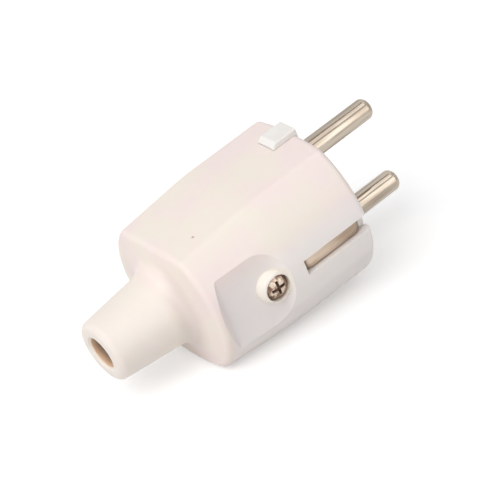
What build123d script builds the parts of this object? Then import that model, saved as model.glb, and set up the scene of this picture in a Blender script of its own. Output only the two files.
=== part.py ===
from build123d import *
from math import cos, radians, sin
import os

# Rewirable earthed plug with two round pins, in millimetres.
# +X runs along the pins, with x = 0 on the face that meets the outlet.
# +Z runs from one pin to the other, and the housing screw is on the -Y side.

# Contact pins: a step is how far a radius grows, a depth is measured from the front face
PIN_SPACING = 19.0
PIN_DIAMETER = 4.8
PIN_REACH = 19.0
PIN_TIP_ROUND = 1.5
PIN_SHANK_STEP = 0.4
PIN_COLLAR_STEP = 1.2
PIN_COLLAR_LENGTH = 2.2
PIN_SEAT_DEPTH = 8.0
PIN_TAIL_STEP = 0.8
PIN_TAIL_LENGTH = 6.6
WIRE_HOLE_DIAMETER = 3.2
WIRE_HOLE_DEPTH = 6.4

# Outside of the housing: drops and depths are measured in from the drum
DRUM_RADIUS = 18.85
DRUM_STRAIGHT = 21.0
DRUM_LENGTH = 39.0
DRUM_REAR_DROP = 1.45
DRUM_BEND = 60.0
DRUM_EDGE_ROUND = 1.3
FLAT_DEPTH = 2.25
FLAT_REAR_DEPTH = 2.6
FLAT_CROWN = 60.0
BACK_RISE = 1.3
WALL = 2.2
BACK_WALL = 2.7

# Sleeve and the cord that passes through it
CORD_DIAMETER = 7.0
CORD_GAP = 0.1
CORD_HOLE_LEAD = 0.5
SLEEVE_LENGTH = 17.6
SLEEVE_ROOT_WALL = 5.1
SLEEVE_END_WALL = 3.3
SLEEVE_FLARE = 3.0
SLEEVE_END_ROUND = 1.6

# Grip recesses and screw boss
RECESS_DEPTH = 2.3
RECESS_SETBACK = 10.1
RECESS_REAR_MARGIN = 3.3
RECESS_RUNOUT_RADIUS = 9.0
RECESS_RUNOUT_LENGTH = 6.6
RECESS_STEP_RUN = 2.6
RECESS_STEP_ROUND = 1.2
GRIP_WALL = 1.9
BOSS_SETBACK = 5.0
BOSS_SINK = 0.45
BOSS_LIP = 0.45
BOSS_DRAFT = 0.55
BOSS_ROUND = 0.7

# Earth strap and the slots that it shows in
STRAP_THICKNESS = 1.0
STRAP_WIDTH = 3.0
STRAP_SINK = 1.35
STRAP_BEND = 1.0
STRAP_FRONT = 1.5
STRAP_TUCK = 2.9
SLOT_SIDE_GAP = 0.3
SLOT_END_GAP = 0.3

# Contact carrier and its guide lugs
CARRIER_LENGTH = 15.9
CARRIER_EDGE = 0.4
LUG_WIDTH = 5.3
LUG_LENGTH = 6.3
LUG_HEIGHT = 1.3
LUG_RAMP = 1.0
LUG_ROUND = 0.4
LUG_ROOT = 1.0

# Back cover, its arms and the clamp shelf
COVER_THICKNESS = 2.5
COVER_SCREW_SETBACK = 3.8
COVER_SCREW_ANGLE = 40.5
WINDOW_SIDE_MARGIN = 1.5
WINDOW_END_MARGIN = 0.4
ARM_SKIN = 0.95
ARM_MARGIN = 1.5
ARM_BACK_ROOM = 2.3
SHELF_SKIN = 1.7
SHELF_FRONT_MARGIN = 1.0
SHELF_REAR_MARGIN = 0.5

# Cord clamp
CLAMP_GRIP = 0.6
CLAMP_BAR_WIDTH = 4.6
CLAMP_BAR_THICKNESS = 2.6
CLAMP_BAR_ROUND = 1.4

# Screws, nuts and washer
MAIN_SCREW_RADIUS = 1.75
MAIN_HEAD_RADIUS = 2.7
MAIN_HEAD_HEIGHT = 1.75
MAIN_NUT_SIDE = 6.0
MAIN_NUT_THICKNESS = 2.4
SMALL_SCREW_RADIUS = 1.5
SMALL_HEAD_RADIUS = 2.6
SMALL_HEAD_HEIGHT = 1.7
SMALL_NUT_SIDE = 5.0
SMALL_NUT_THICKNESS = 2.0
COVER_SCREW_RADIUS = 1.25
COVER_HEAD_RADIUS = 2.35
COVER_SCREW_LENGTH = 7.4
TERMINAL_STANDOFF = 0.9
NUT_CORNER = 0.3
WASHER_WIDTH = 7.0
WASHER_THICKNESS = 1.0

# Form of a pan head and its recess, as shares of the head or shank
SCREW_POINT = 0.3
HEAD_RIM = 0.45
DOME_RADIUS = 0.72
DOME_HEIGHT = 0.86
CROSS_RECESS = (0.62, 0.26, 0.75)
SLOT_RECESS = (1.1, 0.28, 0.5)

# Fits between pieces, and how far a cutter runs past the face that it opens
SLIDE_GAP = 0.2
PART_GAP = 0.1
THREAD_GAP = 0.05
OVERCUT = 1.0
EDGE_TOLERANCE = 0.1

# Pins
PIN_HALF_SPACING = PIN_SPACING / 2
SHANK_RADIUS = PIN_DIAMETER / 2 + PIN_SHANK_STEP
COLLAR_RADIUS = SHANK_RADIUS + PIN_COLLAR_STEP
COLLAR_REAR = PIN_SEAT_DEPTH + PIN_COLLAR_LENGTH
TAIL_RADIUS = PIN_DIAMETER / 2 + PIN_TAIL_STEP

# Housing outside
REACH_OUT = 2 * DRUM_RADIUS
DRUM_REAR_RADIUS = DRUM_RADIUS - DRUM_REAR_DROP
FLAT_OFFSET = DRUM_RADIUS - FLAT_DEPTH
FLAT_REAR_OFFSET = DRUM_REAR_RADIUS - FLAT_REAR_DEPTH
TAPER = DRUM_REAR_DROP / (DRUM_LENGTH - DRUM_STRAIGHT)
FLAT_TAPER = (FLAT_OFFSET - FLAT_REAR_OFFSET) / (DRUM_LENGTH - DRUM_STRAIGHT)
SLEEVE_START = DRUM_LENGTH + BACK_RISE
BODY_LENGTH = SLEEVE_START + SLEEVE_LENGTH
CORD_HOLE_RADIUS = CORD_DIAMETER / 2 + CORD_GAP

# Stations from the front face backwards
COVER_FRONT = CARRIER_LENGTH + STRAP_THICKNESS
COVER_REAR = COVER_FRONT + COVER_THICKNESS
PIN_TAIL_END = COVER_REAR + PIN_TAIL_LENGTH
SLOT_LENGTH = COVER_FRONT + SLOT_END_GAP
BOSS_POSITION = COVER_REAR + BOSS_SETBACK
RECESS_FRONT = SLOT_LENGTH + RECESS_SETBACK
RECESS_REAR = DRUM_LENGTH - RECESS_REAR_MARGIN
CHAMBER_END = DRUM_LENGTH - BACK_WALL
ARM_END = CHAMBER_END - ARM_BACK_ROOM
CLAMP_POSITION = ARM_END - SHELF_REAR_MARGIN - SMALL_NUT_SIDE / 2
SHELF_FRONT = CLAMP_POSITION - SMALL_NUT_SIDE / 2 - SHELF_FRONT_MARGIN

# Distances out from the plug's axis
CARRIER_RADIUS = DRUM_RADIUS - WALL - SLIDE_GAP
CARRIER_HALF_HEIGHT = FLAT_OFFSET - WALL - SLIDE_GAP
CHAMBER_HALF_WIDTH = DRUM_REAR_RADIUS - RECESS_DEPTH - GRIP_WALL
COVER_HALF_WIDTH = CHAMBER_HALF_WIDTH - SLIDE_GAP
COVER_SCREW_RING = CARRIER_RADIUS - COVER_SCREW_SETBACK
COVER_SCREW_Y = COVER_SCREW_RING * cos(radians(COVER_SCREW_ANGLE))
COVER_SCREW_Z = COVER_SCREW_RING * sin(radians(COVER_SCREW_ANGLE))
MAIN_NUT_FACE = COVER_HALF_WIDTH - ARM_SKIN
ARM_INNER = MAIN_NUT_FACE - MAIN_NUT_THICKNESS - ARM_SKIN
ARM_HALF_HEIGHT = MAIN_NUT_SIDE / 2 + ARM_MARGIN
STRAP_FACE = DRUM_RADIUS - STRAP_SINK
SLOT_HALF_WIDTH = STRAP_WIDTH / 2 + SLOT_SIDE_GAP
BOSS_FACE = DRUM_RADIUS - BOSS_SINK
BOSS_TOP_RADIUS = MAIN_HEAD_RADIUS + SLIDE_GAP + BOSS_LIP
BOSS_BASE_RADIUS = BOSS_TOP_RADIUS + BOSS_DRAFT
HEAD_SEAT = BOSS_FACE - MAIN_HEAD_HEIGHT
CLAMP_JAW = CORD_DIAMETER / 2 - CLAMP_GRIP
CLAMP_TOP = CLAMP_JAW + CLAMP_BAR_THICKNESS
CLAMP_SCREW_Y = ARM_INNER - SMALL_NUT_SIDE / 2
SHELF_BOTTOM = CLAMP_JAW + SHELF_SKIN + SMALL_NUT_THICKNESS
WASHER_HALF_LENGTH = MAIN_HEAD_RADIUS + PART_GAP + WASHER_THICKNESS


def box_between(low, high):
    """A block given by its lowest and highest corners."""
    size = [b - a for a, b in zip(low, high)]
    centre = [(a + b) / 2 for a, b in zip(low, high)]
    return Pos(*centre) * Box(*size)


def rod_x(radius, x_start, x_end, y=0.0, z=0.0):
    """A cylinder along X between two stations."""
    length = abs(x_end - x_start)
    return Pos((x_start + x_end) / 2, y, z) * (Rot(0, 90, 0) * Cylinder(radius, length))


def spin_x(*edges):
    """A solid turned about the plug's axis from lines drawn as (x, radius)."""
    return revolve(make_face(edges), Axis.X)


def flat_side(height):
    """Side view of all that lies below a guide flat, which is at that height up to its bend."""
    rear = height - FLAT_TAPER * (BODY_LENGTH - DRUM_STRAIGHT)
    corners = [(OVERCUT, height), (-DRUM_STRAIGHT, height), (-BODY_LENGTH, rear)]
    top = FilletPolyline(*corners, radius=DRUM_BEND)
    close = Polyline(corners[-1], (-BODY_LENGTH, 0), (OVERCUT, 0), corners[0])
    return make_face([*top.edges(), *close.edges()])


def between_flats():
    """The space between the outer faces of the guide flats, which are slightly crowned."""
    below = Pos(0, 0, FLAT_OFFSET - FLAT_CROWN) * revolve(flat_side(FLAT_CROWN), Axis.X)
    return below & mirror(below, Plane.XY)


def between_flat_walls():
    """The space between the inner faces of the flats, which are plane."""
    upper = extrude(Plane.XZ * flat_side(FLAT_OFFSET - WALL), amount=REACH_OUT, both=True)
    return upper + mirror(upper, Plane.XY)


def drum_radius_at(x_behind):
    """Radius of the drum at a distance behind the front face."""
    return DRUM_RADIUS - TAPER * max(0.0, x_behind - DRUM_STRAIGHT)


def is_drum_edge(edge):
    """True for the rims and for the long edges of the flats, not for the smooth seams between them."""
    low = edge.bounding_box().min.X
    high = edge.bounding_box().max.X
    on_rim = low > -EDGE_TOLERANCE or high < -DRUM_LENGTH + EDGE_TOLERANCE
    runs_along = high - low > EDGE_TOLERANCE
    on_drum = low > -DRUM_LENGTH - BACK_RISE / 2
    return on_drum and (on_rim or runs_along)


def outer_form():
    """Drum, domed back and tapered sleeve, with the two flats cut and the rims rounded."""
    drum = FilletPolyline(
        (0, DRUM_RADIUS),
        (-DRUM_STRAIGHT, DRUM_RADIUS),
        (-DRUM_LENGTH, DRUM_REAR_RADIUS),
        radius=DRUM_BEND,
    )
    back = FilletPolyline(
        (-DRUM_LENGTH, DRUM_REAR_RADIUS),
        (-SLEEVE_START, CORD_HOLE_RADIUS + SLEEVE_ROOT_WALL),
        (-BODY_LENGTH, CORD_HOLE_RADIUS + SLEEVE_END_WALL),
        (-BODY_LENGTH, 0),
        radius=[SLEEVE_FLARE, SLEEVE_END_ROUND],
    )
    axis = Polyline((-BODY_LENGTH, 0), (0, 0), (0, DRUM_RADIUS))
    form = spin_x(*drum.edges(), *back.edges(), *axis.edges()) & between_flats()
    return fillet([edge for edge in form.edges() if is_drum_edge(edge)], DRUM_EDGE_ROUND)


def grip_recess():
    """Cutter for the recess on the -Y side: tapered floor, rear step and curved front run-out."""
    floor_front = drum_radius_at(RECESS_FRONT) - RECESS_DEPTH
    floor_rear = drum_radius_at(RECESS_REAR) - RECESS_DEPTH
    runout_drop = (RECESS_RUNOUT_RADIUS**2 - RECESS_RUNOUT_LENGTH**2) ** 0.5
    runout_rise = RECESS_RUNOUT_RADIUS - runout_drop
    runout_end = (-RECESS_FRONT + RECESS_RUNOUT_LENGTH, floor_front + runout_rise)
    rear_top = (-RECESS_REAR - RECESS_STEP_RUN, floor_rear + RECESS_STEP_RUN)
    rear = FilletPolyline(
        (-RECESS_FRONT, floor_front),
        (-RECESS_REAR, floor_rear),
        rear_top,
        radius=RECESS_STEP_ROUND,
    )
    runout = TangentArc((-RECESS_FRONT, floor_front), runout_end, tangent=(1, TAPER))
    lid = Polyline(rear_top, (rear_top[0], REACH_OUT), (runout_end[0], REACH_OUT), runout_end)
    face = make_face([*rear.edges(), runout, *lid.edges()])
    return mirror(extrude(face, amount=DRUM_RADIUS, both=True), Plane.XZ)


def screw_boss():
    """Round boss that carries the housing screw, standing on the recess floor."""
    floor = drum_radius_at(BOSS_POSITION) - RECESS_DEPTH
    root = floor - WALL / 2
    side = FilletPolyline(
        (BOSS_BASE_RADIUS, root),
        (BOSS_BASE_RADIUS, floor),
        (BOSS_TOP_RADIUS, BOSS_FACE),
        (0, BOSS_FACE),
        radius=[BOSS_ROUND / 2, BOSS_ROUND],
    )
    close = Polyline((0, BOSS_FACE), (0, root), (BOSS_BASE_RADIUS, root))
    boss = revolve(make_face([*side.edges(), *close.edges()]), Axis.Y)
    return Pos(-BOSS_POSITION, 0, 0) * mirror(boss, Plane.XZ)


def chamber():
    """Hollow of the housing: a seat of the carrier's section and a narrower wiring space behind it."""
    seat = Pos(OVERCUT, 0, 0) * extrude(carrier_section(-SLIDE_GAP), amount=-OVERCUT - SLOT_LENGTH)
    rear_side = Polyline(
        (-SLOT_LENGTH, 0),
        (-SLOT_LENGTH, CARRIER_RADIUS),
        (-DRUM_STRAIGHT, CARRIER_RADIUS),
        (-CHAMBER_END, drum_radius_at(CHAMBER_END) - WALL),
        (-CHAMBER_END, 0),
        close=True,
    )
    sides = box_between(
        (-BODY_LENGTH, -CHAMBER_HALF_WIDTH, -REACH_OUT),
        (-SLOT_LENGTH, CHAMBER_HALF_WIDTH, REACH_OUT),
    )
    return seat + (spin_x(*rear_side.edges()) & sides & between_flat_walls())


def cord_hole():
    """Bore through the back wall and sleeve, with a lead-in chamfer at its mouth."""
    bore = rod_x(CORD_HOLE_RADIUS, -CHAMBER_END + OVERCUT, -BODY_LENGTH - OVERCUT)
    lead = Polyline(
        (-BODY_LENGTH + CORD_HOLE_LEAD, 0),
        (-BODY_LENGTH + CORD_HOLE_LEAD, CORD_HOLE_RADIUS),
        (-BODY_LENGTH - CORD_HOLE_LEAD, CORD_HOLE_RADIUS + 2 * CORD_HOLE_LEAD),
        (-BODY_LENGTH - CORD_HOLE_LEAD, 0),
        close=True,
    )
    return bore + spin_x(*lead.edges())


def bore_out(radius, start):
    """Bore on the housing screw's axis, from a distance off the plug's axis outwards."""
    bore = Cylinder(radius, REACH_OUT, align=(Align.CENTER, Align.CENTER, Align.MIN))
    return Plane(origin=(-BOSS_POSITION, -start, 0), z_dir=(0, -1, 0)) * bore


def make_housing():
    """One moulded piece: drum, sleeve, recesses, boss, slots and lug notches."""
    body = outer_form() - grip_recess() - mirror(grip_recess(), Plane.XZ)
    body = body + screw_boss()
    body -= chamber()
    body -= cord_hole()
    body -= box_between(
        (-SLOT_LENGTH, -REACH_OUT, -SLOT_HALF_WIDTH),
        (OVERCUT, REACH_OUT, SLOT_HALF_WIDTH),
    )
    notch_half = LUG_WIDTH / 2 + PART_GAP
    body -= box_between(
        (-LUG_LENGTH - PART_GAP, -notch_half, -REACH_OUT),
        (OVERCUT, notch_half, REACH_OUT),
    )
    body -= bore_out(MAIN_SCREW_RADIUS + PART_GAP, CHAMBER_HALF_WIDTH - OVERCUT)
    body -= bore_out(MAIN_HEAD_RADIUS + SLIDE_GAP, HEAD_SEAT)
    return body


def strap_side(grow):
    """Outline of the bent strap seen along Z, grown all round by a clearance."""
    outer_y = STRAP_FACE + grow
    inner_y = STRAP_FACE - STRAP_THICKNESS - grow
    tuck_y = STRAP_FACE - STRAP_TUCK - grow
    front_out = -STRAP_FRONT + grow
    front_in = -STRAP_FRONT - STRAP_THICKNESS - grow
    rear_out = -COVER_FRONT - grow
    rear_in = -CARRIER_LENGTH + grow
    outer = FilletPolyline(
        (front_out, tuck_y),
        (front_out, outer_y),
        (rear_out, outer_y),
        (rear_out, -outer_y),
        (front_out, -outer_y),
        (front_out, -tuck_y),
        radius=STRAP_BEND + STRAP_THICKNESS + grow,
    )
    inner = FilletPolyline(
        (front_in, tuck_y),
        (front_in, inner_y),
        (rear_in, inner_y),
        (rear_in, -inner_y),
        (front_in, -inner_y),
        (front_in, -tuck_y),
        radius=STRAP_BEND - grow,
    )
    ends = [Line(outer @ k, inner @ k) for k in (0, 1)]
    return make_face([*outer.edges(), *inner.edges(), *ends])


def make_earth_strap():
    """Bent strip with a contact on each side and a drilled pad between them."""
    strap = extrude(strap_side(0), amount=STRAP_WIDTH / 2, both=True)
    half = WASHER_HALF_LENGTH
    pad = box_between((-COVER_FRONT, -half, -half), (-CARRIER_LENGTH, half, half))
    pad = fillet(pad.edges().filter_by(Axis.X), STRAP_BEND)
    return strap + pad - rod_x(MAIN_SCREW_RADIUS + THREAD_GAP, -COVER_REAR, 0)


def carrier_section(inset):
    """Cross-section of the carrier, drawn in the YZ plane."""
    disc = Plane.YZ * Circle(CARRIER_RADIUS - inset)
    band = Plane.YZ * Rectangle(2 * REACH_OUT, 2 * (CARRIER_HALF_HEIGHT - inset))
    return disc & band


def guide_lug():
    """Block that stands on a guide flat, with a ramp at its rear end and rounded long edges."""
    top = FLAT_OFFSET + LUG_HEIGHT
    root = CARRIER_HALF_HEIGHT - LUG_ROOT
    side = Polyline(
        (0, root),
        (0, top),
        (-LUG_LENGTH + LUG_RAMP, top),
        (-LUG_LENGTH, top - LUG_RAMP),
        (-LUG_LENGTH, root),
        close=True,
    )
    lug = extrude(Plane.XZ * make_face(side.edges()), amount=LUG_WIDTH / 2, both=True)
    return fillet(lug.edges().filter_by(Axis.X).group_by(Axis.Z)[-1], LUG_ROUND)


def cover_screw_bore(side, gap, x_start, x_end):
    """Hole for one of the two screws that hold the back cover to the carrier."""
    return rod_x(COVER_SCREW_RADIUS + gap, x_start, x_end, side * COVER_SCREW_Y, side * COVER_SCREW_Z)


def make_contact_carrier():
    """Insert that closes the front: pin bores, pin seats, strap pockets, nut pocket and guide lugs."""
    block = extrude(carrier_section(0), amount=-CARRIER_LENGTH)
    block = chamfer(block.edges().group_by(Axis.X)[-1], CARRIER_EDGE)
    lug = guide_lug()
    block += lug + mirror(lug, Plane.XY)
    screw_depth = COVER_REAR - COVER_SCREW_LENGTH - OVERCUT
    for side in (1, -1):
        z = side * PIN_HALF_SPACING
        block -= rod_x(SHANK_RADIUS + THREAD_GAP, OVERCUT, -CARRIER_LENGTH, z=z)
        block -= rod_x(COLLAR_RADIUS + PART_GAP, -PIN_SEAT_DEPTH, -CARRIER_LENGTH, z=z)
        block -= cover_screw_bore(side, THREAD_GAP, -screw_depth, -CARRIER_LENGTH)
    block -= extrude(strap_side(PART_GAP), amount=STRAP_WIDTH / 2 + PART_GAP, both=True)
    nut_half = MAIN_NUT_SIDE / 2 + PART_GAP
    nut_floor = -CARRIER_LENGTH + MAIN_NUT_THICKNESS + PART_GAP
    block -= box_between((-CARRIER_LENGTH, -nut_half, -nut_half), (nut_floor, nut_half, nut_half))
    block -= rod_x(MAIN_SCREW_RADIUS + SLIDE_GAP, nut_floor + MAIN_NUT_THICKNESS, -CARRIER_LENGTH)
    return block


def terminal_axis(z):
    """Plane whose normal is the axis of a terminal screw, pointing out to its head."""
    return Plane(origin=(-PIN_TAIL_END + WIRE_HOLE_DEPTH / 2, 0, z), z_dir=(0, -1, 0))


def make_pin(side):
    """Solid contact pin with flush shank, collar, tail and wire hole; side is 1 above and -1 below."""
    tip = FilletPolyline(
        (PIN_REACH, 0),
        (PIN_REACH, PIN_DIAMETER / 2),
        (0, PIN_DIAMETER / 2),
        radius=PIN_TIP_ROUND,
    )
    rest = Polyline(
        (0, PIN_DIAMETER / 2),
        (0, SHANK_RADIUS),
        (-PIN_SEAT_DEPTH, SHANK_RADIUS),
        (-PIN_SEAT_DEPTH, COLLAR_RADIUS),
        (-COLLAR_REAR, COLLAR_RADIUS),
        (-COLLAR_REAR, TAIL_RADIUS),
        (-PIN_TAIL_END, TAIL_RADIUS),
        (-PIN_TAIL_END, 0),
        (PIN_REACH, 0),
    )
    pin = spin_x(*tip.edges(), *rest.edges())
    pin -= rod_x(WIRE_HOLE_DIAMETER / 2, -PIN_TAIL_END + WIRE_HOLE_DEPTH, -PIN_TAIL_END - OVERCUT)
    screw_hole = Cylinder(SMALL_SCREW_RADIUS + THREAD_GAP, 2 * TAIL_RADIUS)
    pin -= terminal_axis(0) * (Pos(0, 0, TAIL_RADIUS) * screw_hole)
    return Pos(0, 0, side * PIN_HALF_SPACING) * pin


def screw(head_radius, head_height, radius, length, cross=False):
    """Pan-head screw on Z with its seat at z = 0; the head has a slot or a cross recess."""
    point = radius * SCREW_POINT
    rim = head_height * HEAD_RIM
    side = Polyline(
        (0, -length),
        (radius - point, -length),
        (radius, -length + point),
        (radius, 0),
        (head_radius, 0),
        (head_radius, rim),
    )
    crown = (head_radius * DOME_RADIUS, head_height * DOME_HEIGHT)
    dome = ThreePointArc((head_radius, rim), crown, (0, head_height))
    face = make_face([*side.edges(), dome, Line((0, head_height), (0, -length))])
    body = revolve(Plane.XZ * face, Axis.Z)
    reach, blade, depth = CROSS_RECESS if cross else SLOT_RECESS
    recess = Rectangle(2 * reach * head_radius, blade * head_radius)
    if cross:
        recess += Rectangle(blade * head_radius, 2 * reach * head_radius)
    floor = head_height * (1 - depth)
    return body - extrude(Pos(0, 0, floor) * recess, amount=head_height)


def square_nut(side, thickness, radius):
    """Square nut on Z with its near face at z = 0."""
    block = Box(side, side, thickness, align=(Align.CENTER, Align.CENTER, Align.MAX))
    block = chamfer(block.edges().filter_by(Axis.Z), NUT_CORNER)
    return block - Cylinder(radius + THREAD_GAP, REACH_OUT)


def cover_plate():
    """Flat plate of the back cover, before its window and holes are cut."""
    outline = carrier_section(SLIDE_GAP) & (Plane.YZ * Rectangle(2 * COVER_HALF_WIDTH, 2 * REACH_OUT))
    return Pos(-COVER_FRONT, 0, 0) * extrude(outline, amount=-COVER_THICKNESS)


def cover_arms():
    """Two arms that run back from the cover plate beside the wiring space."""
    arm = box_between(
        (-ARM_END, ARM_INNER, -ARM_HALF_HEIGHT),
        (-COVER_REAR, COVER_HALF_WIDTH, ARM_HALF_HEIGHT),
    )
    return arm + mirror(arm, Plane.XZ)


def clamp_shelf():
    """Shelf between the arms that the cord is clamped on: groove, screw holes and nut pockets."""
    shelf = box_between(
        (-ARM_END, -COVER_HALF_WIDTH, -SHELF_BOTTOM),
        (-SHELF_FRONT, COVER_HALF_WIDTH, -CLAMP_JAW),
    )
    shelf -= rod_x(CORD_DIAMETER / 2, -SHELF_FRONT + OVERCUT, -ARM_END - OVERCUT)
    nut_half = SMALL_NUT_SIDE / 2 + PART_GAP
    for side in (1, -1):
        y = side * CLAMP_SCREW_Y
        shelf -= Pos(-CLAMP_POSITION, y, 0) * Cylinder(SMALL_SCREW_RADIUS + PART_GAP, REACH_OUT)
        shelf -= box_between(
            (-CLAMP_POSITION - nut_half, y - nut_half, -SHELF_BOTTOM - OVERCUT),
            (-CLAMP_POSITION + nut_half, y + nut_half, -SHELF_BOTTOM + SMALL_NUT_THICKNESS),
        )
    return shelf


def arm_nut_pocket():
    """Pocket in the arm for the housing screw's nut, open at the top so that the nut drops in."""
    nut_half = MAIN_NUT_SIDE / 2 + PART_GAP
    return box_between(
        (-BOSS_POSITION - nut_half, -MAIN_NUT_FACE - PART_GAP, -nut_half),
        (-BOSS_POSITION + nut_half, -MAIN_NUT_FACE + MAIN_NUT_THICKNESS + PART_GAP, REACH_OUT),
    )


def make_back_cover():
    """Cover behind the carrier: pin sleeves, terminal window, two arms and the clamp shelf."""
    cover = cover_plate() + cover_arms() + clamp_shelf()
    for side in (1, -1):
        z = side * PIN_HALF_SPACING
        cover += rod_x(COLLAR_RADIUS, -COLLAR_REAR - THREAD_GAP, -COVER_REAR, z=z)
        cover -= rod_x(TAIL_RADIUS + PART_GAP, 0, -PIN_TAIL_END - SLIDE_GAP, z=z)
        cover -= cover_screw_bore(side, SLIDE_GAP, 0, -COVER_REAR - OVERCUT)
    half_width = WASHER_WIDTH / 2 + WINDOW_SIDE_MARGIN
    half_height = WASHER_HALF_LENGTH + WINDOW_END_MARGIN
    cover -= box_between((-COVER_REAR - OVERCUT, -half_width, -half_height), (0, half_width, half_height))
    cover -= arm_nut_pocket()
    return cover - bore_out(MAIN_SCREW_RADIUS + PART_GAP, ARM_INNER - OVERCUT)


def make_clamp_bar():
    """Bar that presses the cord on the shelf, with a hollow for it on the underside."""
    half_span = ARM_INNER - SLIDE_GAP
    half_width = CLAMP_BAR_WIDTH / 2
    bar = box_between(
        (-CLAMP_POSITION - half_width, -half_span, CLAMP_JAW),
        (-CLAMP_POSITION + half_width, half_span, CLAMP_TOP),
    )
    bar = fillet(bar.edges().filter_by(Axis.Z), CLAMP_BAR_ROUND)
    bar -= rod_x(CORD_DIAMETER / 2, 0, -BODY_LENGTH)
    for side in (1, -1):
        hole = Cylinder(SMALL_SCREW_RADIUS + PART_GAP, REACH_OUT)
        bar -= Pos(-CLAMP_POSITION, side * CLAMP_SCREW_Y, 0) * hole
    return bar


def make_washer():
    """Square clamp washer with two turned edges that keep the earth wire under the screw."""
    half_width = WASHER_WIDTH / 2
    rear = -COVER_FRONT - WASHER_THICKNESS
    washer = box_between(
        (rear, -half_width, -WASHER_HALF_LENGTH),
        (-COVER_FRONT, half_width, WASHER_HALF_LENGTH),
    )
    for side in (1, -1):
        lip = Box(WASHER_THICKNESS, WASHER_WIDTH, WASHER_THICKNESS)
        lip_z = side * (WASHER_HALF_LENGTH - WASHER_THICKNESS / 2)
        washer += Pos(rear - WASHER_THICKNESS / 2, 0, lip_z) * lip
    return washer - rod_x(MAIN_SCREW_RADIUS + PART_GAP, 0, -COVER_REAR)


def make_terminal_screw(side):
    """Screw across a pin's tail that presses the wire in its hole."""
    shank = TAIL_RADIUS + TERMINAL_STANDOFF
    terminal = screw(SMALL_HEAD_RADIUS, SMALL_HEAD_HEIGHT, SMALL_SCREW_RADIUS, shank)
    return terminal_axis(side * PIN_HALF_SPACING) * (Pos(0, 0, shank) * terminal)


def make_earth_screw():
    """Screw that clamps the washer and strap to the nut in the carrier."""
    shank = WASHER_THICKNESS + STRAP_THICKNESS + MAIN_NUT_THICKNESS + PART_GAP
    body = screw(MAIN_HEAD_RADIUS, MAIN_HEAD_HEIGHT, MAIN_SCREW_RADIUS, shank)
    return Plane(origin=(-COVER_FRONT - WASHER_THICKNESS, 0, 0), z_dir=(-1, 0, 0)) * body


def make_housing_screw():
    """Cross-recess screw whose tip ends level with the inner face of the arm."""
    body = screw(MAIN_HEAD_RADIUS, MAIN_HEAD_HEIGHT, MAIN_SCREW_RADIUS, HEAD_SEAT - ARM_INNER, cross=True)
    return Plane(origin=(-BOSS_POSITION, -HEAD_SEAT, 0), z_dir=(0, -1, 0)) * body


def group(solids):
    """Separate solids kept together as one node."""
    return Compound(children=[solid.solid() for solid in solids])


def make_parts():
    """Every node of the plug by name."""
    main_nut = square_nut(MAIN_NUT_SIDE, MAIN_NUT_THICKNESS, MAIN_SCREW_RADIUS)
    clamp_nut = square_nut(SMALL_NUT_SIDE, SMALL_NUT_THICKNESS, SMALL_SCREW_RADIUS)
    clamp_length = CLAMP_TOP + SHELF_BOTTOM
    clamp_screw = screw(SMALL_HEAD_RADIUS, SMALL_HEAD_HEIGHT, SMALL_SCREW_RADIUS, clamp_length)
    cover_screw = screw(COVER_HEAD_RADIUS, SMALL_HEAD_HEIGHT, COVER_SCREW_RADIUS, COVER_SCREW_LENGTH)
    sides = (1, -1)
    cover_seats = [(-COVER_REAR, side * COVER_SCREW_Y, side * COVER_SCREW_Z) for side in sides]
    cover_screws = [Plane(origin=seat, z_dir=(-1, 0, 0)) * cover_screw for seat in cover_seats]
    clamp_screws = [Pos(-CLAMP_POSITION, side * CLAMP_SCREW_Y, CLAMP_TOP) * clamp_screw for side in sides]
    nut_z = -SHELF_BOTTOM + SMALL_NUT_THICKNESS
    clamp_nuts = [Pos(-CLAMP_POSITION, side * CLAMP_SCREW_Y, nut_z) * clamp_nut for side in sides]
    return {
        "housing": make_housing(),
        "contact_carrier": make_contact_carrier(),
        "carrier_back_cover": make_back_cover(),
        "carrier_cover_screws": group(cover_screws),
        "line_pin": make_pin(1),
        "neutral_pin": make_pin(-1),
        "line_terminal_screw": make_terminal_screw(1),
        "neutral_terminal_screw": make_terminal_screw(-1),
        "earth_strap": make_earth_strap(),
        "earth_terminal_screw": make_earth_screw(),
        "earth_terminal_washer": make_washer(),
        "earth_terminal_nut": Plane(origin=(-CARRIER_LENGTH, 0, 0), z_dir=(-1, 0, 0)) * main_nut,
        "cord_clamp_bar": make_clamp_bar(),
        "cord_clamp_screws": group(clamp_screws),
        "cord_clamp_nuts": group(clamp_nuts),
        "housing_screw": make_housing_screw(),
        "housing_screw_nut": Plane(origin=(-BOSS_POSITION, -MAIN_NUT_FACE, 0), z_dir=(0, -1, 0)) * main_nut,
    }


os.makedirs("parts", exist_ok=True)
for name, shape in make_parts().items():
    export_step(shape, f"parts/{name}.step")
    print(name, round(shape.volume, 1))
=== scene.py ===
import math

import bpy
from mathutils import Matrix, Vector

# Rewirable earthed plug in white plastic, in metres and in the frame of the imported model.
# +X runs along the pins with x = 0 on the front face, and +Z from pin to pin.
# The housing screw is on the -Y side.

MM = 0.001
IMAGE_SIDE = 480
SENSOR_WIDTH = 36.0

# The photograph's camera, fitted to the outline of the pins and rims
CAMERA_PLACE = Vector((-0.2357, -0.4756, 0.3540))
CAMERA_BACK = Vector((-0.3427, -0.7549, 0.5591))
CAMERA_UP = Vector((0.5663, 0.3088, 0.7641))
CAMERA_FOCUS_PX = 3075.0
CAMERA_CLIP_START = 0.05

# Light: an even fill on diffuse surfaces, and a soft lamp above, toward the sleeve and the screw's side
FILL_LIGHT = 0.55
KEY_DIRECTION = Vector((-0.50, -0.24, 0.83))
KEY_DISTANCE = 1.0
KEY_SIDE = 0.8
KEY_POWER = 5.7

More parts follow.
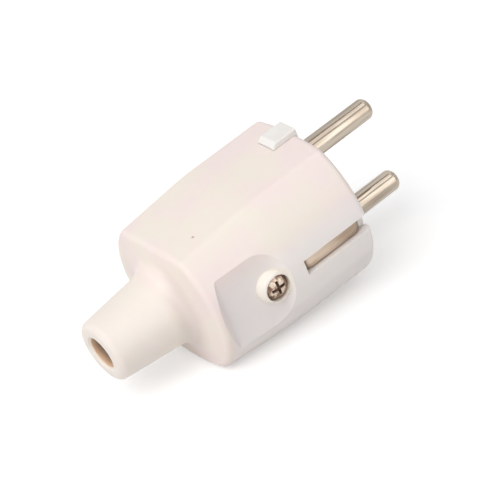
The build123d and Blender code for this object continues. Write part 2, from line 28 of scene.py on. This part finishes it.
# Panels that show only in metal and gloss, where they draw the streaks along the pins.
# Each has a name, the Y and Z of its direction, a distance, a height and a strength.
PANEL_DIRECTION_X = 0.343
PANEL_WIDTH = 0.9
PANELS = (
    ("bright_panel_low", (-0.877, 0.337), 0.90, 0.76, 2.1),
    ("tan_panel", (-0.565, 0.750), 0.80, 0.17, 0.80),
    ("bright_panel_high", (-0.235, 0.909), 0.85, 0.41, 2.0),
    ("dark_panel_high", (0.259, 0.903), 0.80, 0.11, 0.45),
)

# Floor that the plug rests on: it touches the lower lug and the rear edge of the lower flat
FLOOR_SIDE = 6.0
LUG_CONTACT = (-5.3 * MM, -17.9 * MM)
REAR_CONTACT = (-38.4 * MM, -14.87 * MM)
FLOOR_DROP = 0.05 * MM
FLOOR_SHADE = 0.76
FLOOR_LIFT = 0.40

# Places on the housing
SLEEVE_ROOT_X = -40.3 * MM
SLEEVE_END_X = -57.9 * MM
CORD_HOLE_RADIUS = 3.6 * MM
SPECK_PLACE = (-32.51 * MM, -7.56 * MM, 14.97 * MM)
SPECK_RADIUS = 0.42 * MM
# Centre and reach of the painted light on the screw's boss
BOSS_PLACE = (-24.4 * MM, -17.6 * MM, 0.0)
BOSS_REACH = 4.4 * MM

# Stretches over which one tone of the housing fades into the next, from none of it to all
SLEEVE_FADE_X = (SLEEVE_ROOT_X, SLEEVE_ROOT_X - 5 * MM)
# Painted cool light on the lower part of the screw's side
SIDE_FADE_X = (-38 * MM, -36 * MM)
SIDE_FADE_Y = (-11 * MM, -15 * MM)
SIDE_FADE_Z = (9 * MM, 3 * MM)
OUTERMOST_FADE_Y = (-16.8 * MM, -17.8 * MM)
# Painted shade in the crease at the sleeve's root
ROOT_FADE_X = (SLEEVE_ROOT_X - 4.5 * MM, SLEEVE_ROOT_X - 1.2 * MM)
ROOT_END_X = (SLEEVE_ROOT_X + 0.7 * MM, SLEEVE_ROOT_X)
ROOT_FADE_Y = (-3 * MM, -8.5 * MM)
HOLE_FADE_RADIUS = (CORD_HOLE_RADIUS + 0.35 * MM, CORD_HOLE_RADIUS + 0.05 * MM)
HOLE_MOUTH_X = (SLEEVE_END_X + 0.1 * MM, SLEEVE_END_X + 0.9 * MM)
# Depth over which the painted shade deepens in the cord hole
HOLE_SHADE_X = (SLEEVE_END_X + 0.6 * MM, SLEEVE_END_X + 2.3 * MM)

# Colours of the housing, as they show on a screen
HOUSING_PINK = (245, 229, 225)
HOUSING_CREAM = (244, 234, 222)
SLEEVE_CREAM = (243, 234, 225)
# Painted cool light on the lower part of the screw's side: greyer in the recess, paler at the outermost
PAINTED_SIDE_LIGHT_INNER = (240, 234, 232)
PAINTED_SIDE_LIGHT_OUTER = (248, 242, 239)
# Painted shade in the crease at the sleeve's root
PAINTED_ROOT_SHADE = (214, 203, 197)
# Painted light on the screw's boss, paler than the rest of the side
BOSS_PAINTED_LIGHT = (246, 238, 228)
# Dirt and painted shade in the housing's gaps
HOUSING_SOIL_AND_SHADE = (214, 192, 168)
# Painted highlight on the housing's sharp edges
HOUSING_EDGE_HIGHLIGHT = (250, 244, 236)
HOLE_TAN = (240, 202, 164)
# Painted shade deep in the cord hole
HOLE_DEEP_SHADE = (160, 128, 104)
SPECK_BROWN = (150, 132, 118)

# Colours of the insert
INSERT_PALE = (243, 240, 236)
INSERT_GREY = (239, 234, 229)
# Dirt and painted shade in the insert's gaps
INSERT_SOIL_AND_SHADE = (206, 190, 172)
# Painted highlight on the insert's sharp edges
INSERT_EDGE_HIGHLIGHT = (250, 248, 243)

# Skin of moulded plastic: size and depth of its sink marks and its grain, and its uneven gloss
SINK_SIZE = 9 * MM
SINK_DEPTH = 0.10 * MM
GRAIN_SIZE = 0.16 * MM
GRAIN_DEPTH = 0.004 * MM
GLOSS_SIZE = 2.5 * MM
PLASTIC_ROUGHNESS = (0.40, 0.54)

# Plated metal
SCRATCH_SIZE = 0.10 * MM
SCRATCH_DEPTH = 0.0008 * MM
SCRATCH_DRAW = 12
RUBBED_BRIGHTER = 22
# Stretch over which painted shade darkens the strap toward the front
FRONT_SHADE_X = (-13 * MM, -3 * MM)

# Colours of the housing screw's head, and the relief of its pits
SCREW_BRIGHT = (218, 202, 184)
SCREW_DULL = (134, 108, 92)
# Dirt and painted shade in the screw's cross
SCREW_SOIL_AND_SHADE = (112, 84, 66)
SCREW_PINK = (206, 164, 148)
SCREW_RUBBED = (226, 212, 196)
DENT_SIZE = 0.7 * MM
DENT_DEPTH = 0.26 * MM
PIT_SIZE = 0.12 * MM
PIT_DEPTH = 0.006 * MM

# Colours of the zinc-plated steel, and its crystals
ZINC_PALE = (196, 199, 203)
ZINC_DARK = (172, 176, 182)
# Dirt and painted shade in the hollows of the zinc-plated steel
ZINC_SOIL_AND_SHADE = (96, 92, 88)
CRYSTALS_PER_METRE = 900.0
ZINC_GRAIN_SIZE = 0.15 * MM
ZINC_GRAIN_DEPTH = 0.003 * MM


def paint(shown):
    """Linear colour of a colour given as it shows on a screen, 0 to 255."""
    channels = [value / 255 for value in shown]
    linear = [c / 12.92 if c <= 0.04045 else ((c + 0.055) / 1.055) ** 2.4 for c in channels]
    return (*linear, 1.0)


class Finish:
    """A node material under construction, laid out over object coordinates in metres."""

    def __init__(self, name, metallic=0.0):
        self.material = bpy.data.materials.new(name)
        self.material.use_nodes = True
        self.tree = self.material.node_tree
        self.shader = self.tree.nodes["Principled BSDF"]
        self.shader.inputs["Metallic"].default_value = metallic
        self.place = self.node("ShaderNodeTexCoord").outputs["Object"]

    def feed(self, socket, value):
        """Links a socket to another, or sets its value."""
        if isinstance(value, bpy.types.NodeSocket):
            self.tree.links.new(value, socket)
        else:
            socket.default_value = value

    def node(self, kind, inputs=None, **settings):
        """Adds a node with its settings, and feeds its inputs by name or number."""
        made = self.tree.nodes.new(kind)
        for name, value in settings.items():
            setattr(made, name, value)
        for key, value in (inputs or {}).items():
            self.feed(made.inputs[key], value)
        return made

    def set(self, name, value):
        """Feeds one of the shader's own sockets."""
        self.feed(self.shader.inputs[name], value)

    def product(self, first, second):
        """Two masks multiplied, so that both have to hold."""
        return self.node("ShaderNodeMath", {0: first, 1: second}, operation="MULTIPLY").outputs[0]

    def vector(self, operation, first, second=(0.0, 0.0, 0.0)):
        """One step of vector arithmetic, as its node."""
        return self.node("ShaderNodeVectorMath", {0: first, 1: second}, operation=operation)

    def axis(self, name):
        """One coordinate of the place."""
        return self.node("ShaderNodeSeparateXYZ", {0: self.place}).outputs[name]

    def spread(self, value, low, high, to_low=0.0, to_high=1.0):
        """Carries a range of values smoothly to another range, and holds it there."""
        made = self.node("ShaderNodeMapRange", {0: value, 1: low, 2: high, 3: to_low, 4: to_high})
        made.interpolation_type = "SMOOTHSTEP"
        return made.outputs[0]

    def noise(self, size, detail=3.0, stretch=(1.0, 1.0, 1.0), shift=0.0):
        """Soft noise with blotches of a size in metres, drawn out along an axis by stretch."""
        scale = [1 / (size * s) for s in stretch]
        scaled_place = self.vector("MULTIPLY", self.place, scale).outputs[0]
        moved = self.vector("ADD", scaled_place, (shift, shift, shift)).outputs[0]
        made = self.node("ShaderNodeTexNoise", {"Vector": moved, "Scale": 1.0, "Detail": detail})
        return made.outputs[0]

    def blend(self, mask, first, second):
        """One colour where the mask is 0, the other where it is 1."""
        made = self.node("ShaderNodeMix", data_type="RGBA")
        self.feed(made.inputs[0], mask)
        self.feed(made.inputs[6], first)
        self.feed(made.inputs[7], second)
        return made.outputs[2]

    def crevice(self, reach, amount):
        """Mask of the places that a gap of that reach closes in on."""
        made = self.node("ShaderNodeAmbientOcclusion", {"Distance": reach})
        made.samples = 8
        return self.spread(made.outputs["AO"], 0.75, 0.15, 0.0, amount)

    def edge(self, radius, amount):
        """Mask of the sharp edges, where handling wears metal first and where plastic gets a painted
        highlight.
        """
        rounded = self.node("ShaderNodeBevel", {"Radius": radius}).outputs[0]
        flat = self.node("ShaderNodeNewGeometry").outputs["Normal"]
        same = self.vector("DOT_PRODUCT", rounded, flat).outputs["Value"]
        return self.spread(same, 0.998, 0.93, 0.0, amount)

    def near(self, centre, reach, core, amount):
        """Mask of all that lies within reach of a place, full up to a share of the reach."""
        apart = self.vector("DISTANCE", self.place, centre).outputs["Value"]
        return self.spread(apart, reach, core * reach, 0.0, amount)

    def bump(self, height, depth, below=None):
        """Adds a relief of a depth in metres over any relief that is there."""
        made = self.node("ShaderNodeBump", {"Height": height, "Distance": depth})
        if below is not None:
            self.feed(made.inputs["Normal"], below)
        self.set("Normal", made.outputs[0])
        return made.outputs[0]


def moulded_grain(finish, shift):
    """Skin of moulded plastic: slow sink marks, a fine grain and uneven gloss."""
    slow = finish.noise(SINK_SIZE, 2.0, shift=shift)
    fine = finish.noise(GRAIN_SIZE, 2.0, shift=shift)
    sunk = finish.bump(slow, SINK_DEPTH)
    finish.bump(fine, GRAIN_DEPTH, sunk)
    gloss = finish.noise(GLOSS_SIZE, 4.0, shift=shift + 3)
    finish.set("Roughness", finish.spread(gloss, 0.3, 0.7, *PLASTIC_ROUGHNESS))


def soften(finish, weight, depth):
    """Light that enters pale plastic and leaves it close by."""
    finish.set("Subsurface Weight", weight)
    finish.set("Subsurface Radius", (1.0, 0.75, 0.6))
    finish.set("Subsurface Scale", depth)


def painted_side_light_mask(finish, x):
    """Lower part of the screw's side up to the recess's rear end, with painted cool light: greyer than
    the rest, paler at the outermost.
    """
    low = finish.spread(finish.axis("Z"), *SIDE_FADE_Z)
    outer = finish.spread(finish.axis("Y"), *SIDE_FADE_Y, 0.0, 0.85)
    ahead = finish.spread(x, *SIDE_FADE_X)
    return finish.product(finish.product(low, outer), ahead)


def painted_root_shade_mask(finish, x):
    """Painted shade in the crease at the root of the sleeve on the screw's side."""
    sleeve_side = finish.spread(x, *ROOT_FADE_X)
    back_side = finish.spread(x, *ROOT_END_X, 0.0, 0.5)
    outer = finish.spread(finish.axis("Y"), *ROOT_FADE_Y)
    return finish.product(finish.product(sleeve_side, back_side), outer)


def cord_hole_mask(finish, x):
    """The wall of the bore through the sleeve: tan at its mouth, painted shade in dark brown deeper in,
    in blotches, and fading out at its mouth.
    """
    across = finish.vector("MULTIPLY", finish.place, (0.0, 1.0, 1.0)).outputs[0]
    radius = finish.vector("LENGTH", across).outputs["Value"]
    inside = finish.spread(radius, *HOLE_FADE_RADIUS)
    deep = finish.spread(x, *HOLE_MOUTH_X)
    blotch = finish.spread(finish.noise(2.0 * MM, 3.0, shift=5), 0.25, 0.65, 0.75, 1.0)
    return finish.product(finish.product(inside, deep), blotch)


def housing_plastic():
    """Warm white plastic: pink and cream drifts, a creamier sleeve, dirt and painted shade in gaps,
    painted light on the screw's side and its boss, painted shade at the sleeve's root, painted highlights
    on sharp edges, and a cord hole tan at its mouth with painted shade deeper in.
    """
    finish = Finish("white_housing")
    drift = finish.spread(finish.noise(13 * MM, 3.0), 0.38, 0.62)
    base = finish.blend(drift, paint(HOUSING_PINK), paint(HOUSING_CREAM))
    x = finish.axis("X")
    base = finish.blend(finish.spread(x, *SLEEVE_FADE_X, 0.0, 0.8), base, paint(SLEEVE_CREAM))
    # Painted cool light on the lower part of the screw's side
    outermost = finish.spread(finish.axis("Y"), *OUTERMOST_FADE_Y)
    painted_side_light = finish.blend(outermost, paint(PAINTED_SIDE_LIGHT_INNER), paint(PAINTED_SIDE_LIGHT_OUTER))
    base = finish.blend(painted_side_light_mask(finish, x), base, painted_side_light)
    # Painted shade at the sleeve's root
    base = finish.blend(painted_root_shade_mask(finish, x), base, paint(PAINTED_ROOT_SHADE))
    # Painted light on the screw's boss
    base = finish.blend(finish.near(BOSS_PLACE, BOSS_REACH, 0.9, 1.0), base, paint(BOSS_PAINTED_LIGHT))
    # Dirt and painted shade where a gap closes in
    base = finish.blend(finish.crevice(1.6 * MM, 0.3), base, paint(HOUSING_SOIL_AND_SHADE))
    # Painted highlight on sharp edges
    base = finish.blend(finish.edge(0.25 * MM, 0.10), base, paint(HOUSING_EDGE_HIGHLIGHT))
    # Tan at the cord hole's mouth, painted shade deeper in
    brown = finish.blend(finish.spread(x, *HOLE_SHADE_X), paint(HOLE_TAN), paint(HOLE_DEEP_SHADE))
    base = finish.blend(cord_hole_mask(finish, x), base, brown)
    base = finish.blend(finish.near(SPECK_PLACE, SPECK_RADIUS, 0.3, 0.7), base, paint(SPECK_BROWN))
    finish.set("Base Color", base)
    moulded_grain(finish, 0.0)
    soften(finish, 0.18, 1.2 * MM)
    return finish.material


def carrier_plastic():
    """The insert's white, cooler than the housing, with dirt and painted shade in its gaps and painted
    highlights on its sharp edges.
    """
    finish = Finish("white_carrier")
    drift = finish.spread(finish.noise(7 * MM, 3.0, shift=9), 0.38, 0.62)
    base = finish.blend(drift, paint(INSERT_PALE), paint(INSERT_GREY))
    # Dirt and painted shade in the gaps
    base = finish.blend(finish.crevice(1.2 * MM, 0.2), base, paint(INSERT_SOIL_AND_SHADE))
    # Painted highlight on sharp edges
    base = finish.blend(finish.edge(0.2 * MM, 0.4), base, paint(INSERT_EDGE_HIGHLIGHT))
    finish.set("Base Color", base)
    moulded_grain(finish, 7.0)
    soften(finish, 0.15, 1.0 * MM)
    return finish.material


def plated_metal(name, bright, dull, soil_and_shade, roughness, draw, shift, worn=0.5, front=0.0):
    """Plated metal drawn along X: tarnish, scratches, worn edges, dirt and painted shade in gaps, and
    painted shade toward the front.
    """
    finish = Finish(name, metallic=1.0)
    tarnish = finish.spread(finish.noise(0.9 * MM, 4.0, (draw, 1, 1), shift), 0.35, 0.65)
    base = finish.blend(tarnish, paint(bright), paint(dull))
    # Dirt and painted shade in the gaps
    base = finish.blend(finish.crevice(0.9 * MM, 0.85), base, paint(soil_and_shade))
    if front:
        # Painted shade toward the front
        base = finish.blend(finish.spread(finish.axis("X"), *FRONT_SHADE_X, 0.0, front), base, paint(soil_and_shade))
    if worn:
        rubbed = [min(255, channel + RUBBED_BRIGHTER) for channel in bright]
        base = finish.blend(finish.edge(0.12 * MM, worn), base, paint(rubbed))
    finish.set("Base Color", base)
    scratch = finish.noise(SCRATCH_SIZE, 2.0, (draw * SCRATCH_DRAW, 1, 1), shift + 2)
    smear = finish.spread(finish.noise(1.6 * MM, 4.0, (draw, 1, 1), shift + 4), 0.3, 0.7)
    finish.set("Roughness", finish.spread(smear, 0.0, 1.0, *roughness))
    finish.bump(scratch, SCRATCH_DEPTH)
    return finish.material


def pitted_screw():
    """Tarnished head of the housing screw: brown dirt and painted shade in its cross, pits and bright
    rubbed spots.
    """
    finish = Finish("tarnished_screw", metallic=0.72)
    tarnish = finish.spread(finish.noise(1.1 * MM, 4.0, shift=21), 0.42, 0.60)
    base = finish.blend(tarnish, paint(SCREW_BRIGHT), paint(SCREW_DULL))
    # Dirt and painted shade in the cross
    base = finish.blend(finish.crevice(1.0 * MM, 0.75), base, paint(SCREW_SOIL_AND_SHADE))
    pink = finish.spread(finish.noise(0.7 * MM, 3.0, shift=23), 0.52, 0.66, 0.0, 0.7)
    base = finish.blend(pink, base, paint(SCREW_PINK))
    base = finish.blend(finish.edge(0.14 * MM, 0.5), base, paint(SCREW_RUBBED))
    finish.set("Base Color", base)
    finish.set("Roughness", finish.spread(tarnish, 0.0, 1.0, 0.26, 0.5))
    dents = finish.bump(finish.noise(DENT_SIZE, 4.0, shift=25), DENT_DEPTH)
    finish.bump(finish.noise(PIT_SIZE, 3.0, shift=27), PIT_DEPTH, dents)
    return finish.material


def zinc_steel():
    """Zinc-plated steel of the inner screws and nuts, with a faint crystal pattern."""
    finish = Finish("zinc_steel", metallic=1.0)
    cells = (CRYSTALS_PER_METRE, CRYSTALS_PER_METRE, CRYSTALS_PER_METRE)
    place = finish.vector("MULTIPLY", finish.place, cells).outputs[0]
    crystal = finish.node("ShaderNodeTexVoronoi", {"Vector": place, "Scale": 1.0}).outputs["Color"]
    grey = finish.node("ShaderNodeRGBToBW", {0: crystal}).outputs[0]
    base = finish.blend(finish.spread(grey, 0.2, 0.8), paint(ZINC_PALE), paint(ZINC_DARK))
    # Dirt and painted shade in the hollows
    base = finish.blend(finish.crevice(0.9 * MM, 0.6), base, paint(ZINC_SOIL_AND_SHADE))
    finish.set("Base Color", base)
    finish.set("Roughness", finish.spread(grey, 0.0, 1.0, 0.28, 0.42))
    finish.bump(finish.noise(ZINC_GRAIN_SIZE, 3.0, shift=31), ZINC_GRAIN_DEPTH)
    return finish.material


def seen_directly(tree):
    """1 for the rays that show the background: straight, mirrored and through glass."""
    path = tree.nodes.new("ShaderNodeLightPath")
    seen = path.outputs["Is Camera Ray"]
    for other in ("Is Glossy Ray", "Is Transmission Ray"):
        either = tree.nodes.new("ShaderNodeMath")
        either.operation = "MAXIMUM"
        tree.links.new(seen, either.inputs[0])
        tree.links.new(path.outputs[other], either.inputs[1])
        seen = either.outputs[0]
    return seen


def scaled(tree, value, low, high):
    """Carries 0 to 1 to another range."""
    made = tree.nodes.new("ShaderNodeMapRange")
    made.inputs[3].default_value = low
    made.inputs[4].default_value = high
    tree.links.new(value, made.inputs[0])
    return made.outputs[0]


def make_world():
    """White where it is seen, and an even fill on diffuse surfaces."""
    world = bpy.data.worlds.new("studio")
    world.use_nodes = True
    bpy.context.scene.world = world
    tree = world.node_tree
    background = tree.nodes["Background"]
    background.inputs["Color"].default_value = (1.0, 1.0, 1.0, 1.0)
    tree.links.new(scaled(tree, seen_directly(tree), FILL_LIGHT, 1.0), background.inputs["Strength"])


def make_floor():
    """Pale floor in the plane that the plug comes to rest on."""
    bpy.ops.mesh.primitive_plane_add(size=FLOOR_SIDE)
    floor = bpy.context.object
    floor.name = "floor"
    slope = math.atan2(REAR_CONTACT[1] - LUG_CONTACT[1], LUG_CONTACT[0] - REAR_CONTACT[0])
    floor.rotation_euler = (0.0, slope, 0.0)
    floor.location = (LUG_CONTACT[0], 0.0, LUG_CONTACT[1] - FLOOR_DROP)
    finish = Finish("pale_floor")
    finish.set("Base Color", (FLOOR_SHADE, FLOOR_SHADE, FLOOR_SHADE, 1.0))
    finish.set("Roughness", 0.9)
    finish.set("Specular IOR Level", 0.1)
    finish.set("Emission Color", (1.0, 1.0, 1.0, 1.0))
    finish.set("Emission Strength", scaled(finish.tree, seen_directly(finish.tree), 0.0, FLOOR_LIFT))
    floor.data.materials.append(finish.material)


def make_key_lamp():
    """Wide soft lamp above the plug."""
    data = bpy.data.lights.new("key_lamp", "AREA")
    data.size = KEY_SIDE
    data.energy = KEY_POWER
    lamp = bpy.data.objects.new("key_lamp", data)
    bpy.context.collection.objects.link(lamp)
    lamp.location = KEY_DIRECTION.normalized() * KEY_DISTANCE
    lamp.rotation_mode = "QUATERNION"
    lamp.rotation_quaternion = KEY_DIRECTION.to_track_quat("Z", "Y")
    lamp.visible_camera = False


def make_reflector(name, across, distance, height, strength):
    """Studio panel that only shows mirrored in metal and gloss."""
    direction = Vector((PANEL_DIRECTION_X, *across))
    bpy.ops.mesh.primitive_plane_add(size=1.0)
    panel = bpy.context.object
    panel.name = name
    panel.scale = (PANEL_WIDTH, height, 1.0)
    panel.location = direction.normalized() * distance
    panel.rotation_mode = "QUATERNION"
    panel.rotation_quaternion = direction.to_track_quat("Z", "Y")
    for ray in ("visible_camera", "visible_diffuse", "visible_shadow", "visible_transmission"):
        setattr(panel, ray, False)
    material = bpy.data.materials.new(name)
    material.use_nodes = True
    shader = material.node_tree.nodes["Principled BSDF"]
    shader.inputs["Base Color"].default_value = (0.0, 0.0, 0.0, 1.0)
    shader.inputs["Specular IOR Level"].default_value = 0.0
    shader.inputs["Emission Color"].default_value = (1.0, 1.0, 1.0, 1.0)
    shader.inputs["Emission Strength"].default_value = strength
    panel.data.materials.append(material)


def make_camera():
    """The photograph's camera, rolled as it was held."""
    data = bpy.data.cameras.new("camera")
    data.sensor_width = SENSOR_WIDTH
    data.lens = SENSOR_WIDTH * CAMERA_FOCUS_PX / IMAGE_SIDE
    data.clip_start = CAMERA_CLIP_START
    camera = bpy.data.objects.new("camera", data)
    bpy.context.collection.objects.link(camera)
    back = CAMERA_BACK.normalized()
    right = CAMERA_UP.cross(back).normalized()
    up = back.cross(right)
    turn = Matrix((right, up, back)).transposed().to_4x4()
    camera.matrix_world = Matrix.Translation(CAMERA_PLACE) @ turn
    bpy.context.scene.camera = camera


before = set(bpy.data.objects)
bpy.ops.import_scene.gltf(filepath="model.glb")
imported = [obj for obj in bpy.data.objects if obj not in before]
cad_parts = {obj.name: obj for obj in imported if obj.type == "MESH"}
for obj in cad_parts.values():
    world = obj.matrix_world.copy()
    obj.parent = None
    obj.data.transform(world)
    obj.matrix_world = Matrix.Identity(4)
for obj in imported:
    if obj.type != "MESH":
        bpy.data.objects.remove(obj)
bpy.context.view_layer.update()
bpy.context.scene.view_settings.view_transform = "Standard"

plastic = housing_plastic()
insert = carrier_plastic()
pin_nickel = plated_metal(
    "pin_nickel",
    bright=(192, 181, 166),
    dull=(160, 146, 132),
    soil_and_shade=(100, 86, 74),
    roughness=(0.08, 0.15),
    draw=14,
    shift=11,
    worn=0.0,
)
strap_plate = plated_metal(
    "strap_plate",
    bright=(206, 188, 170),
    dull=(178, 159, 140),
    soil_and_shade=(120, 96, 78),
    roughness=(0.34, 0.46),
    draw=8,
    shift=13,
    worn=0.4,
    front=0.35,
)
screw_plate = plated_metal(
    "screw_plate",
    bright=(198, 180, 162),
    dull=(160, 138, 118),
    soil_and_shade=(84, 66, 54),
    roughness=(0.24, 0.4),
    draw=1,
    shift=17,
)
FINISHES = {
    "housing": plastic,
    "contact_carrier": insert,
    "carrier_back_cover": insert,
    "cord_clamp_bar": insert,
    "line_pin": pin_nickel,
    "neutral_pin": pin_nickel,
    "earth_strap": strap_plate,
    "earth_terminal_washer": strap_plate,
    "housing_screw": pitted_screw(),
    "line_terminal_screw": screw_plate,
    "neutral_terminal_screw": screw_plate,
    "earth_terminal_screw": screw_plate,
}
zinc = zinc_steel()
for name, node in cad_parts.items():
    for slot in node.material_slots:
        slot.material = FINISHES.get(name, zinc)

make_world()
make_floor()
make_key_lamp()
for panel_row in PANELS:
    make_reflector(*panel_row)
make_camera()
